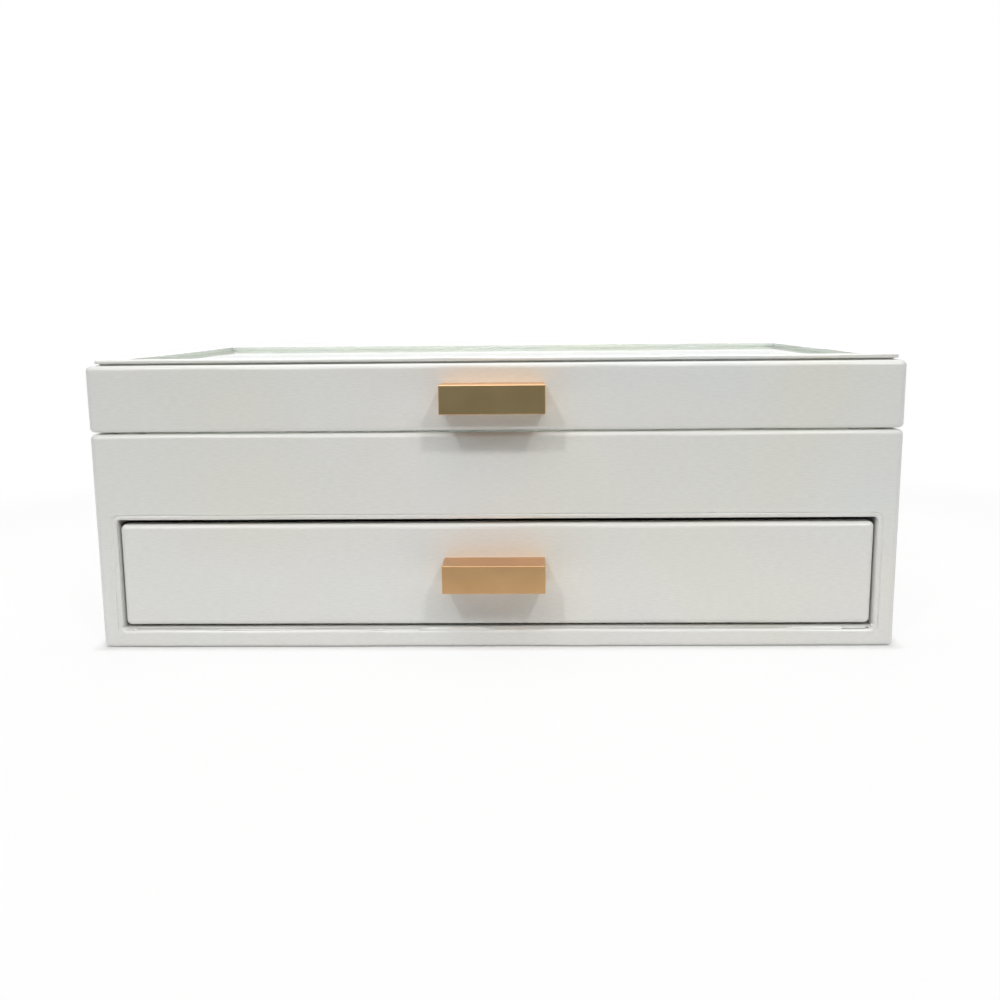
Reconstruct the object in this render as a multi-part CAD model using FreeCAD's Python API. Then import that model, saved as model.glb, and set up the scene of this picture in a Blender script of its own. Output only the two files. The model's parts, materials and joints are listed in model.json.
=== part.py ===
import FreeCAD, Part
import os

from FreeCAD import Vector

# All sizes are in millimetres. The origin is on the floor under the centre of the
# case. +X is to the right of a person facing the drawer, -Y is towards them, +Z is up.

# Outside of the case and of the lid
case_width = 318.0
case_depth = 191.0
rim_height = 87.0
lid_seam = 0.7
lid_height = 26.1
corner_radius = 2.6
rim_edge_radius = 2.0
base_edge_radius = 1.5
lid_top_edge_radius = 2.2
lid_bottom_edge_radius = 1.8

# Sheet and board thicknesses
leatherette = 0.8
wall_board = 6.8
base_board_thickness = 6.0
shelf_thickness = 3.0
lining = 1.0

# Felt sheet that the case stands on, and the covering that is turned in under the base
felt_stand_proud = 0.5
turn_under_width = 12.0
felt_clearance = 0.5
felt_corner_radius = 6.0

# Drawer opening
opening_height = 44.6
opening_edge_radius = 1.2
turn_in_depth = 1.2
turn_in_seam = 0.3

# Drawer front in its opening
drawer_setback = 1.2
drawer_side_gap = 0.7
drawer_gap_below = 1.2
drawer_gap_above = 1.95
drawer_front_thickness = 6.0
drawer_front_corner_radius = 2.2
drawer_front_edge_radius = 2.0

# Drawer box and its guides
drawer_board = 4.0
drawer_bottom_thickness = 3.0
drawer_box_height = 35.0
drawer_travel = 130.0
stop_pad_thickness = 1.0
stop_pad_width = 24.0
stop_pad_height = 12.0
stop_pad_side_distance = 59.0
stop_pad_lift = 10.0
guide_clearance = 0.4
guide_height = 10.0
guide_lift = 6.0
guide_end_gap = 4.0
glide_end_gap = 4.0

# Inside of the drawer
drawer_middle_width = 130.0
drawer_divider_thickness = 3.0
drawer_divider_height = 24.0

# Inside of the upper compartment
ring_bank_width = 110.0
tray_divider_thickness = 4.0
tray_divider_height = 24.0
tray_cell_rows = 3
divider_top_radius = 1.2
lining_below_rim = 0.6
tray_lining_above_rim = 0.3

# Ring rolls: padded rolls side by side, with the rings held between them
roll_spacing = 19.25
roll_clearance = 0.4
roll_height = 21.0
roll_foot_width = 14.0
roll_shoulder_width = 17.0
roll_shoulder_height = 12.5
roll_belly_height = 6.5
roll_end_length = 6.0
roll_end_scale = 0.72
roll_end_bend_length = 3.2
roll_end_bend_scale = 0.93

# Glass, the raised frame round it and the beads that hold it from below
glass_thickness = 2.8
glass_clearance = 0.3
glass_margin = 11.0
top_frame_rise = 2.1
top_frame_inset = 2.6
top_frame_corner_radius = 2.0
top_frame_edge_radius = 1.1
bead_width = 3.2
bead_height = 4.0

# Bumpers on the lid that rest on the rim of the case
bumper_radius = 1.5
bumper_side_distance = 19.0

# Bar pulls and their screws
pull_width = 40.0
pull_height = 11.0
pull_projection = 15.4
pull_edge_radius = 0.25
lid_pull_lift = 13.15
drawer_pull_lift = 22.1
pull_screw_spacing = 24.0
pull_screw_radius = 1.5
pull_screw_depth = 7.0
pull_screw_head_radius = 2.8
pull_screw_head_height = 1.6
pull_head_recess = 0.2
screw_hole_clearance = 0.2
thread_clearance = 0.05

# Butt hinges behind the case, with lugs that stop the lid
hinge_side_distance = 59.0
hinge_length = 30.0
hinge_knuckle_gap = 0.2
hinge_middle_knuckle = 10.0
hinge_leaf_thickness = 1.2
hinge_leaf_height = 14.0
hinge_leaf_corner_radius = 1.0
hinge_barrel_radius = 2.2
hinge_barrel_gap = 0.3
hinge_notch_clearance = 0.4
hinge_pin_radius = 1.0
hinge_pin_clearance = 0.05
hinge_stop_reach = 4.6
hinge_stop_thickness = 1.9
hinge_stop_clearance = 0.1
lid_open_angle = 100.0
hinge_screw_spacing = 18.0
hinge_screw_drop = 9.0
hinge_screw_radius = 1.0
hinge_screw_length = 5.4
hinge_screw_end_gap = 0.4
hinge_screw_head_radius = 1.9
hinge_screw_head_height = 0.8
hinge_screw_head_edge = 0.4
hinge_screw_slot_width = 0.5
hinge_screw_slot_depth = 0.35

# Case faces, from the outside inwards
half_width = case_width / 2
front_face = -case_depth / 2
back_face = case_depth / 2
board_half_width = half_width - leatherette
board_front = front_face + leatherette
board_back = back_face - leatherette
inner_half_width = board_half_width - wall_board
inner_front = board_front + wall_board
inner_back = board_back - wall_board
opening_half_width = inner_half_width - leatherette

# Case heights, from the floor upwards
base_bottom = felt_stand_proud + leatherette
base_top = base_bottom + base_board_thickness
sill_top = base_top + leatherette
opening_top = sill_top + opening_height
shelf_bottom = opening_top + leatherette
shelf_top = shelf_bottom + shelf_thickness
tray_floor = shelf_top + lining
board_top = rim_height - leatherette

# Lid heights
lid_bottom = rim_height + lid_seam
lid_board_bottom = lid_bottom + leatherette
lid_top = lid_bottom + lid_height
lid_board_top = lid_top - leatherette
glass_bottom = lid_top - glass_thickness
bead_bottom = glass_bottom - bead_height
lid_pull_centre_height = lid_bottom + lid_pull_lift

# Drawer faces and heights
bay_half_width = inner_half_width - lining
bay_floor = base_top + lining
drawer_front_face = front_face + drawer_setback
drawer_front_half_width = bay_half_width - drawer_side_gap
drawer_bottom = sill_top + drawer_gap_below
drawer_front_top = opening_top - drawer_gap_above
drawer_pull_centre_height = drawer_bottom + drawer_pull_lift
drawer_board_front = drawer_front_face + leatherette
drawer_box_front = drawer_board_front + drawer_front_thickness
drawer_box_back = inner_back - stop_pad_thickness
drawer_half_width = drawer_front_half_width - leatherette
drawer_inner_half_width = drawer_half_width - drawer_board
drawer_inner_back = drawer_box_back - drawer_board
drawer_box_top = drawer_bottom + drawer_box_height
drawer_floor = drawer_bottom + drawer_bottom_thickness + lining

# Places along the width that are measured in from the sides
hinge_offset = half_width - hinge_side_distance
bumper_offset = half_width - bumper_side_distance
stop_pad_offset = half_width - stop_pad_side_distance

# Holes for the hinge screws, from the rear face of a leaf
hinge_screw_hole_depth = hinge_screw_length + hinge_screw_end_gap

# Hinge axis
pivot_y = back_face + hinge_barrel_gap + hinge_barrel_radius
pivot_z = rim_height + lid_seam / 2

# Distance under which two places count as the same
same_place = 1e-4

parts = {}


def block(x0, x1, y0, y1, z0, z1):
    return Part.makeBox(x1 - x0, y1 - y0, z1 - z0, Vector(x0, y0, z0))


def rod(radius, start, end):
    return Part.makeCylinder(radius, (end - start).Length, start, end - start)


def upright_edges(shape):
    return [edge for edge in shape.Edges if edge.BoundBox.ZLength > edge.Length / 2]


# Edges that lie in the plane where the given coordinate has the given value
def edges_in_plane(shape, coordinate, value):
    found = []
    for edge in shape.Edges:
        low = getattr(edge.BoundBox, coordinate + "Min")
        high = getattr(edge.BoundBox, coordinate + "Max")
        if abs(low - value) < same_place and abs(high - value) < same_place:
            found.append(edge)
    return found


# A block centred on the vertical axis, with its upright edges rounded
def rounded_block(half_x, half_y, z0, z1, radius):
    solid = block(-half_x, half_x, -half_y, half_y, z0, z1)
    return solid.makeFillet(radius, upright_edges(solid))


# Four strips that stand just inside a rectangle. Those at the sides run its full depth.
def wall_strips(half_x, y0, y1, thickness, z0, z1):
    inner = half_x - thickness
    return {
        "left": block(-half_x, -inner, y0, y1, z0, z1),
        "right": block(inner, half_x, y0, y1, z0, z1),
        "front": block(-inner, inner, y0, y0 + thickness, z0, z1),
        "back": block(-inner, inner, y1 - thickness, y1, z0, z1),
    }


def joined(shapes):
    whole = shapes[0].multiFuse(shapes[1:])
    return whole.removeSplitter()


# Outer form of the case. With an inset it is the form of the bare boards under the
# covering, so every edge of a board is eased by the covering's radius less its thickness.
def case_form(inset):
    form = rounded_block(half_width - inset, back_face - inset, felt_stand_proud + inset, rim_height - inset,
                         corner_radius - inset)
    form = form.makeFillet(rim_edge_radius - inset, edges_in_plane(form, "Z", rim_height - inset))
    form = form.makeFillet(base_edge_radius - inset, edges_in_plane(form, "Z", felt_stand_proud + inset))
    half_opening = opening_half_width + inset
    opening = block(-half_opening, half_opening, front_face, inner_front, sill_top - inset, opening_top + inset)
    form = form.cut(opening)
    rim_of_opening = []
    for edge in edges_in_plane(form, "Y", front_face + inset):
        across = abs(edge.CenterOfMass.x) < half_opening + same_place
        upright = sill_top - inset - same_place < edge.CenterOfMass.z < opening_top + inset + same_place
        if across and upright:
            rim_of_opening.append(edge)
    return form.makeFillet(opening_edge_radius - inset, rim_of_opening)


def lid_form(inset):
    form = rounded_block(half_width - inset, back_face - inset, lid_bottom + inset, lid_top - inset,
                         corner_radius - inset)
    form = form.makeFillet(lid_top_edge_radius - inset, edges_in_plane(form, "Z", lid_top - inset))
    return form.makeFillet(lid_bottom_edge_radius - inset, edges_in_plane(form, "Z", lid_bottom + inset))


# Outer form of the drawer front, and with an inset the form of its bare board
def drawer_front_form(inset):
    half_x = drawer_front_half_width - inset
    face = drawer_front_face + inset
    form = block(-half_x, half_x, face, drawer_box_front, drawer_bottom + inset, drawer_front_top - inset)
    along_y = [edge for edge in form.Edges if edge.BoundBox.YLength > drawer_front_thickness / 2]
    form = form.makeFillet(drawer_front_corner_radius - inset, along_y)
    return form.makeFillet(drawer_front_edge_radius - inset, edges_in_plane(form, "Y", face))


# Positions of the screws of one hinge leaf, on its rear face. direction is +1 for the
# lid's leaf above the hinge axis and -1 for the case's leaf below it.
def hinge_screw_points(centre_x, direction):
    y = back_face + hinge_leaf_thickness
    z = pivot_z + direction * hinge_screw_drop
    return [Vector(centre_x + side * hinge_screw_spacing / 2, y, z) for side in (-1, 1)]


def hinge_screw_holes(direction, radius, depth):
    holes = []
    for hinge_x in (-hinge_offset, hinge_offset):
        for point in hinge_screw_points(hinge_x, direction):
            holes.append(rod(radius, point, point - Vector(0, depth, 0)))
    return holes


def pull_screw_holes(centre_z, radius, y0, y1):
    holes = []
    for side in (-1, 1):
        x = side * pull_screw_spacing / 2
        holes.append(rod(radius, Vector(x, y0, centre_z), Vector(x, y1, centre_z)))
    return holes


def make_case_boards():
    core = case_form(leatherette)
    side = block(inner_half_width, board_half_width, board_front, board_back, base_bottom, board_top)
    parts["right_side_board"] = side.common(core)
    parts["left_side_board"] = side.mirror(Vector(0, 0, 0), Vector(1, 0, 0)).common(core)
    back = block(-inner_half_width, inner_half_width, inner_back, board_back, base_bottom, board_top).common(core)
    for hole in hinge_screw_holes(-1, hinge_screw_radius + thread_clearance, hinge_screw_hole_depth):
        back = back.cut(hole)
    parts["back_board"] = back
    base = block(-inner_half_width, inner_half_width, board_front, inner_back, base_bottom, base_top)
    parts["base_board"] = base.common(core)
    front = block(-inner_half_width, inner_half_width, board_front, inner_front, shelf_bottom, board_top)
    parts["upper_front_board"] = front.common(core)
    parts["shelf_board"] = block(
        -inner_half_width, inner_half_width, inner_front, inner_back, shelf_bottom, shelf_top)


# Leatherette over the case: turned in over the rim, under the base and into the drawer
# opening, where it ends at a seam beside and below the drawer
def make_case_covering():
    skin = case_form(0).cut(case_form(leatherette))
    top_window = block(-inner_half_width, inner_half_width, inner_front, inner_back, base_top, rim_height)
    under_half_x = board_half_width - turn_under_width
    under_back = board_back - turn_under_width
    under_window = block(-under_half_x, under_half_x, -under_back, under_back, felt_stand_proud, base_bottom)
    beyond_seam = block(-inner_half_width, inner_half_width, front_face + turn_in_depth, inner_front,
                        base_top, opening_top)
    for space in (top_window, under_window, beyond_seam):
        skin = skin.cut(space)
    for hole in hinge_screw_holes(-1, hinge_screw_radius + thread_clearance, hinge_screw_length):
        skin = skin.cut(hole)
    parts["case_wrap"] = skin


def make_base_felt():
    half_x = board_half_width - turn_under_width - felt_clearance
    half_y = board_back - turn_under_width - felt_clearance
    parts["base_felt"] = rounded_block(half_x, half_y, 0, base_bottom, felt_corner_radius)


def make_drawer_bay():
    front = front_face + turn_in_depth + turn_in_seam
    wall = block(bay_half_width, inner_half_width, front, inner_back, base_top, opening_top)
    parts["bay_right_lining"] = wall
    parts["bay_left_lining"] = wall.mirror(Vector(0, 0, 0), Vector(1, 0, 0))
    parts["bay_floor_lining"] = block(-bay_half_width, bay_half_width, front, inner_back, base_top, bay_floor)
    guide_bottom = bay_floor + guide_lift
    guide = block(drawer_half_width + guide_clearance, bay_half_width,
                  drawer_box_front + guide_end_gap, drawer_box_back - guide_end_gap,
                  guide_bottom, guide_bottom + guide_height)
    mirrored = guide.mirror(Vector(0, 0, 0), Vector(1, 0, 0))
    parts["drawer_guide_strips"] = Part.makeCompound([guide, mirrored])
    pads = []
    for side in (-1, 1):
        centre = side * stop_pad_offset
        pads.append(block(centre - stop_pad_width / 2, centre + stop_pad_width / 2, drawer_box_back, inner_back,
                          bay_floor + stop_pad_lift, bay_floor + stop_pad_lift + stop_pad_height))
    parts["drawer_stop_pads"] = Part.makeCompound(pads)


def make_tray():
    parts["tray_floor_lining"] = block(
        -inner_half_width, inner_half_width, inner_front, inner_back, shelf_top, tray_floor)
    strips = wall_strips(inner_half_width, inner_front, inner_back, lining,
                         tray_floor, rim_height + tray_lining_above_rim)
    for name, strip in strips.items():
        parts["tray_" + name + "_lining"] = strip
    front = inner_front + lining
    back = inner_back - lining
    top = tray_floor + tray_divider_height
    bank_half = ring_bank_width / 2
    cell_inner = bank_half + tray_divider_thickness
    cell_outer = inner_half_width - lining
    long_divider = block(bank_half, cell_inner, front, back, tray_floor, top)
    long_divider = long_divider.makeFillet(divider_top_radius, side_top_edges(long_divider, "X", bank_half, cell_inner))
    parts["tray_right_divider"] = long_divider
    parts["tray_left_divider"] = long_divider.mirror(Vector(0, 0, 0), Vector(1, 0, 0))
    cell_depth = (back - front - (tray_cell_rows - 1) * tray_divider_thickness) / tray_cell_rows
    short_dividers = []
    for row in range(1, tray_cell_rows):
        y0 = front + row * cell_depth + (row - 1) * tray_divider_thickness
        y1 = y0 + tray_divider_thickness
        short = block(cell_inner, cell_outer, y0, y1, tray_floor, top)
        short = short.makeFillet(divider_top_radius, side_top_edges(short, "Y", y0, y1))
        short_dividers.append(short)
        short_dividers.append(short.mirror(Vector(0, 0, 0), Vector(1, 0, 0)))
    parts["tray_short_dividers"] = Part.makeCompound(short_dividers)


# Top edges of a divider on its two long faces, which lie at the values first and second
def side_top_edges(shape, coordinate, first, second):
    top = shape.BoundBox.ZMax
    long_edges = edges_in_plane(shape, coordinate, first) + edges_in_plane(shape, coordinate, second)
    return [edge for edge in long_edges if abs(edge.BoundBox.ZMin - top) < divider_top_radius / 2]


# Outline of a roll at x: a flat foot, bellied sides that draw in to the foot, a round crown
def roll_section(x, scale):
    foot = roll_foot_width / 2 * scale
    belly = (roll_spacing - roll_clearance) / 2 * scale
    shoulder = roll_shoulder_width / 2 * scale
    shoulder_z = tray_floor + roll_shoulder_height * scale
    belly_z = tray_floor + roll_belly_height * scale
    crown_z = tray_floor + roll_height * scale
    left_foot = Vector(x, -foot, tray_floor)
    right_foot = Vector(x, foot, tray_floor)
    left_shoulder = Vector(x, -shoulder, shoulder_z)
    right_shoulder = Vector(x, shoulder, shoulder_z)
    edges = [
        Part.makeLine(left_foot, right_foot),
        Part.Arc(right_foot, Vector(x, belly, belly_z), right_shoulder).toShape(),
        Part.Arc(right_shoulder, Vector(x, 0, crown_z), left_shoulder).toShape(),
        Part.Arc(left_shoulder, Vector(x, -belly, belly_z), left_foot).toShape(),
    ]
    return Part.Wire(edges)


def make_ring_rolls():
    depth = inner_back - inner_front - 2 * lining
    count = int(depth / roll_spacing)
    half_length = ring_bank_width / 2 - roll_clearance
    middle_half = half_length - roll_end_length
    bend_x = middle_half + roll_end_bend_length
    middle = Part.Face(roll_section(-middle_half, 1)).extrude(Vector(2 * middle_half, 0, 0))
    right_end = Part.makeLoft([
        roll_section(middle_half, 1),
        roll_section(bend_x, roll_end_bend_scale),
        roll_section(half_length, roll_end_scale),
    ], True, True)
    left_end = right_end.mirror(Vector(0, 0, 0), Vector(1, 0, 0))
    roll = joined([middle, right_end, left_end])
    centre_y = (inner_front + inner_back) / 2
    rolls = []
    for index in range(count):
        y = centre_y + (index - (count - 1) / 2) * roll_spacing
        rolls.append(roll.translated(Vector(0, y, 0)))
    parts["ring_rolls"] = Part.makeCompound(rolls)


def make_lid_boards_and_covering():
    core = lid_form(leatherette)
    boards = wall_strips(board_half_width, board_front, board_back, wall_board, lid_board_bottom, lid_board_top)
    for name in boards:
        boards[name] = boards[name].common(core)
    hole_radius = pull_screw_radius + screw_hole_clearance
    head_seat = inner_front - pull_screw_head_height - pull_head_recess
    head_hole_radius = pull_screw_head_radius + screw_hole_clearance
    for hole in pull_screw_holes(lid_pull_centre_height, hole_radius, board_front, inner_front):
        boards["front"] = boards["front"].cut(hole)
    for hole in pull_screw_holes(lid_pull_centre_height, head_hole_radius, head_seat, inner_front):
        boards["front"] = boards["front"].cut(hole)
    for hole in hinge_screw_holes(1, hinge_screw_radius + thread_clearance, hinge_screw_hole_depth):
        boards["back"] = boards["back"].cut(hole)
    for name, board in boards.items():
        parts["lid_" + name + "_board"] = board

    skin = lid_form(0).cut(core)
    skin = skin.cut(block(-inner_half_width, inner_half_width, inner_front, inner_back, lid_bottom, lid_top))
    for hole in pull_screw_holes(lid_pull_centre_height, hole_radius, front_face, board_front):
        skin = skin.cut(hole)
    for hole in hinge_screw_holes(1, hinge_screw_radius + thread_clearance, hinge_screw_length):
        skin = skin.cut(hole)
    parts["lid_wrap"] = skin


def make_lid_glass_and_linings():
    glass_half_x = inner_half_width - glass_clearance
    parts["glass_pane"] = block(-glass_half_x, glass_half_x, inner_front + glass_clearance,
                                inner_back - glass_clearance, glass_bottom, lid_top)
    frame = rounded_block(half_width - top_frame_inset, back_face - top_frame_inset,
                          lid_top, lid_top + top_frame_rise, top_frame_corner_radius)
    window_half_x = half_width - glass_margin
    window_back = back_face - glass_margin
    frame = frame.cut(block(-window_half_x, window_half_x, -window_back, window_back,
                            lid_top, lid_top + top_frame_rise))
    frame = frame.makeFillet(top_frame_edge_radius, edges_in_plane(frame, "Z", lid_top + top_frame_rise))
    parts["lid_top_frame"] = frame

    beads = wall_strips(inner_half_width, inner_front, inner_back, bead_width, bead_bottom, glass_bottom)
    parts["glazing_beads"] = Part.makeCompound(list(beads.values()))
    strips = wall_strips(inner_half_width, inner_front, inner_back, lining, lid_bottom + lining_below_rim, bead_bottom)
    for name, strip in strips.items():
        parts["lid_" + name + "_lining"] = strip

    bumpers = []
    bumper_y = (front_face + rim_edge_radius + inner_front) / 2
    for side in (-1, 1):
        foot = Vector(side * bumper_offset, bumper_y, rim_height)
        bumpers.append(rod(bumper_radius, foot, foot + Vector(0, 0, lid_seam)))
    parts["lid_bumpers"] = Part.makeCompound(bumpers)


# Bar pull that stands on the surface at surface_y, with blind holes for its screws
def bar_pull(surface_y, centre_z):
    bar = block(-pull_width / 2, pull_width / 2, surface_y - pull_projection, surface_y,
                centre_z - pull_height / 2, centre_z + pull_height / 2)
    seen = [edge for edge in bar.Edges if edge.BoundBox.YMin < surface_y - pull_edge_radius]
    bar = bar.makeFillet(pull_edge_radius, seen)
    radius = pull_screw_radius + thread_clearance
    deepest = surface_y - pull_screw_depth - thread_clearance
    for hole in pull_screw_holes(centre_z, radius, surface_y, deepest):
        bar = bar.cut(hole)
    return bar


# Screws from inside the board. head_back is the rear face of their heads.
def pull_screws(surface_y, centre_z, head_back):
    head_front = head_back - pull_screw_head_height
    shanks = pull_screw_holes(centre_z, pull_screw_radius, head_back, surface_y - pull_screw_depth)
    heads = pull_screw_holes(centre_z, pull_screw_head_radius, head_front, head_back)
    return Part.makeCompound([joined([shank, head]) for shank, head in zip(shanks, heads)])


def make_pulls():
    parts["lid_pull"] = bar_pull(front_face, lid_pull_centre_height)
    parts["lid_pull_screws"] = pull_screws(front_face, lid_pull_centre_height, inner_front - pull_head_recess)
    parts["drawer_pull"] = bar_pull(drawer_front_face, drawer_pull_centre_height)
    parts["drawer_pull_screws"] = pull_screws(
        drawer_front_face, drawer_pull_centre_height, drawer_box_front - pull_head_recess)


# One leaf of a butt hinge. The case's leaf hangs below the axis and holds the two outer
# knuckles, and the lid's leaf stands above it and holds the middle one.
def hinge_leaf(centre_x, direction):
    middle = (centre_x - hinge_middle_knuckle / 2, centre_x + hinge_middle_knuckle / 2)
    left = (centre_x - hinge_length / 2, middle[0] - hinge_knuckle_gap)
    right = (middle[1] + hinge_knuckle_gap, centre_x + hinge_length / 2)
    own, other = ([middle], [left, right]) if direction > 0 else ([left, right], [middle])
    far_z = pivot_z + direction * hinge_leaf_height
    plate_back = back_face + hinge_leaf_thickness
    plate = block(left[0], right[1], back_face, plate_back, min(pivot_z, far_z), max(pivot_z, far_z))
    corners = [edge for edge in edges_in_plane(plate, "Z", far_z) if edge.BoundBox.XLength < same_place]
    leaf = plate.makeFillet(hinge_leaf_corner_radius, corners)
    for x0, x1 in own:
        leaf = leaf.fuse(rod(hinge_barrel_radius, Vector(x0, pivot_y, pivot_z), Vector(x1, pivot_y, pivot_z)))
    notch_z = pivot_z + direction * (hinge_barrel_radius + hinge_notch_clearance)
    for x0, x1 in other:
        widened = block(x0 - hinge_knuckle_gap, x1 + hinge_knuckle_gap, back_face, plate_back,
                        min(pivot_z, notch_z), max(pivot_z, notch_z))
        leaf = leaf.cut(widened)
    if direction < 0:
        for x0, x1 in own:
            lug_front = plate_back + hinge_stop_clearance
            lug = block(x0, x1, lug_front, lug_front + hinge_stop_thickness, pivot_z, pivot_z + hinge_stop_reach)
            lug.rotate(Vector(0, pivot_y, pivot_z), Vector(-1, 0, 0), lid_open_angle)
            leaf = leaf.fuse(lug)
    bore_radius = hinge_pin_radius + hinge_pin_clearance
    leaf = leaf.cut(rod(bore_radius, Vector(left[0], pivot_y, pivot_z), Vector(right[1], pivot_y, pivot_z)))
    for point in hinge_screw_points(centre_x, direction):
        leaf = leaf.cut(rod(hinge_screw_radius + thread_clearance, point, point - Vector(0, hinge_leaf_thickness, 0)))
    return leaf.removeSplitter()


def hinge_screw(point):
    head_back = point + Vector(0, hinge_screw_head_height, 0)
    head = rod(hinge_screw_head_radius, point, head_back)
    head = head.makeFillet(hinge_screw_head_edge, edges_in_plane(head, "Y", head_back.y))
    slot = block(point.x - hinge_screw_head_radius, point.x + hinge_screw_head_radius,
                 head_back.y - hinge_screw_slot_depth, head_back.y,
                 point.z - hinge_screw_slot_width / 2, point.z + hinge_screw_slot_width / 2)
    shank = rod(hinge_screw_radius, point, point - Vector(0, hinge_screw_length, 0))
    return joined([head.cut(slot), shank])


def make_hinges():
    case_screws = []
    lid_screws = []
    for side, name in ((-1, "left"), (1, "right")):
        x = side * hinge_offset
        parts[name + "_hinge_case_leaf"] = hinge_leaf(x, -1)
        parts[name + "_hinge_lid_leaf"] = hinge_leaf(x, 1)
        end = hinge_length / 2
        parts[name + "_hinge_pin"] = rod(hinge_pin_radius, Vector(x - end, pivot_y, pivot_z),
                                         Vector(x + end, pivot_y, pivot_z))
        case_screws += [hinge_screw(point) for point in hinge_screw_points(x, -1)]
        lid_screws += [hinge_screw(point) for point in hinge_screw_points(x, 1)]
    parts["hinge_case_screws"] = Part.makeCompound(case_screws)
    parts["hinge_lid_screws"] = Part.makeCompound(lid_screws)


def make_drawer_front():
    board = drawer_front_form(leatherette)
    cap = drawer_front_form(0).cut(board)
    hole_radius = pull_screw_radius + screw_hole_clearance
    for hole in pull_screw_holes(drawer_pull_centre_height, hole_radius, drawer_front_face, drawer_box_front):
        cap = cap.cut(hole)
        board = board.cut(hole)
    head_seat = drawer_box_front - pull_screw_head_height - pull_head_recess
    head_hole_radius = pull_screw_head_radius + screw_hole_clearance
    for hole in pull_screw_holes(drawer_pull_centre_height, head_hole_radius, head_seat, drawer_box_front):
        board = board.cut(hole)
    parts["drawer_front_wrap"] = cap
    parts["drawer_front_board"] = board


def make_drawer_box():
    for side, name in ((-1, "left"), (1, "right")):
        x0, x1 = sorted((side * drawer_inner_half_width, side * drawer_half_width))
        parts["drawer_" + name + "_side"] = block(
            x0, x1, drawer_box_front, drawer_box_back, drawer_bottom, drawer_box_top)
    inner = drawer_inner_half_width
    parts["drawer_back"] = block(-inner, inner, drawer_inner_back, drawer_box_back, drawer_bottom, drawer_box_top)
    board_top_z = drawer_bottom + drawer_bottom_thickness
    parts["drawer_bottom_board"] = block(
        -inner, inner, drawer_box_front, drawer_inner_back, drawer_bottom, board_top_z)
    parts["drawer_floor_lining"] = block(
        -inner, inner, drawer_box_front, drawer_inner_back, board_top_z, drawer_floor)
    strips = wall_strips(inner, drawer_box_front, drawer_inner_back, lining,
                         drawer_floor, drawer_box_top - lining_below_rim)
    parts["drawer_wall_linings"] = Part.makeCompound(list(strips.values()))
    glides = []
    for side in (-1, 1):
        x0, x1 = sorted((side * drawer_inner_half_width, side * drawer_half_width))
        glides.append(block(x0, x1, drawer_box_front + glide_end_gap, drawer_box_back - glide_end_gap,
                            bay_floor, drawer_bottom))
    parts["drawer_glides"] = Part.makeCompound(glides)

    front = drawer_box_front + lining
    back = drawer_inner_back - lining
    top = drawer_floor + drawer_divider_height
    half_middle = drawer_middle_width / 2
    cell_inner = half_middle + drawer_divider_thickness
    long_divider = block(half_middle, cell_inner, front, back, drawer_floor, top)
    long_divider = long_divider.makeFillet(
        divider_top_radius, side_top_edges(long_divider, "X", half_middle, cell_inner))
    parts["drawer_right_divider"] = long_divider
    parts["drawer_left_divider"] = long_divider.mirror(Vector(0, 0, 0), Vector(1, 0, 0))
    middle_y = (front + back) / 2
    y0 = middle_y - drawer_divider_thickness / 2
    y1 = middle_y + drawer_divider_thickness / 2
    short = block(cell_inner, inner - lining, y0, y1, drawer_floor, top)
    short = short.makeFillet(divider_top_radius, side_top_edges(short, "Y", y0, y1))
    mirrored = short.mirror(Vector(0, 0, 0), Vector(1, 0, 0))
    parts["drawer_short_dividers"] = Part.makeCompound([short, mirrored])


def main():
    make_case_boards()
    make_case_covering()
    make_base_felt()
    make_drawer_bay()
    make_tray()
    make_ring_rolls()
    make_lid_boards_and_covering()
    make_lid_glass_and_linings()
    make_hinges()
    make_drawer_front()
    make_drawer_box()
    make_pulls()
    os.makedirs("parts", exist_ok=True)
    for name, shape in parts.items():
        shape.exportStep(os.path.join("parts", name + ".step"))
    print(len(parts), "nodes")


main()
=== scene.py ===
import json
import math

import bpy
import numpy as np
from mathutils import Matrix, Vector, noise


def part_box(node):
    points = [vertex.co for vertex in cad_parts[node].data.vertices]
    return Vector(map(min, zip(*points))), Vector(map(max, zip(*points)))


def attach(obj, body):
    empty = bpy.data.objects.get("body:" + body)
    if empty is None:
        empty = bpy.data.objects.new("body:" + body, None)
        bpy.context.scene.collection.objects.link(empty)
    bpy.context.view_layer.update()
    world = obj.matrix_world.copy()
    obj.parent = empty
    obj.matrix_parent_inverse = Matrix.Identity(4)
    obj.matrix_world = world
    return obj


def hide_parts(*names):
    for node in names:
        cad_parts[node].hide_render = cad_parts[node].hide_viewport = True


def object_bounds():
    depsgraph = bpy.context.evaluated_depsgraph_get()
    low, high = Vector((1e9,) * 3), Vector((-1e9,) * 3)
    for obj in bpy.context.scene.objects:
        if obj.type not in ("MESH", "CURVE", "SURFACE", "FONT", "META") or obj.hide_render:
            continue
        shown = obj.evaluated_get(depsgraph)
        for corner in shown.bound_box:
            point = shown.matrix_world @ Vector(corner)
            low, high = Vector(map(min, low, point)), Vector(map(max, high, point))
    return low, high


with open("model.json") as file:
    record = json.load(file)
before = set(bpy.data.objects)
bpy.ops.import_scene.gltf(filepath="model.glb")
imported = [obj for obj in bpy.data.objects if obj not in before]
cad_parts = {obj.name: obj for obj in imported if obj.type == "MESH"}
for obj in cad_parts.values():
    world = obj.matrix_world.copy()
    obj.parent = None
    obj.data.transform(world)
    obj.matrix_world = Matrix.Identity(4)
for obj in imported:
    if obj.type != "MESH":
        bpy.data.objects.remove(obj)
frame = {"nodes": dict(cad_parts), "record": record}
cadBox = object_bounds()
nodes = frame["nodes"]
mm = 0.001  # the pieces are worked out in millimetres, and the stage in metres
print("frame loaded:", len(nodes), "nodes")


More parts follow.
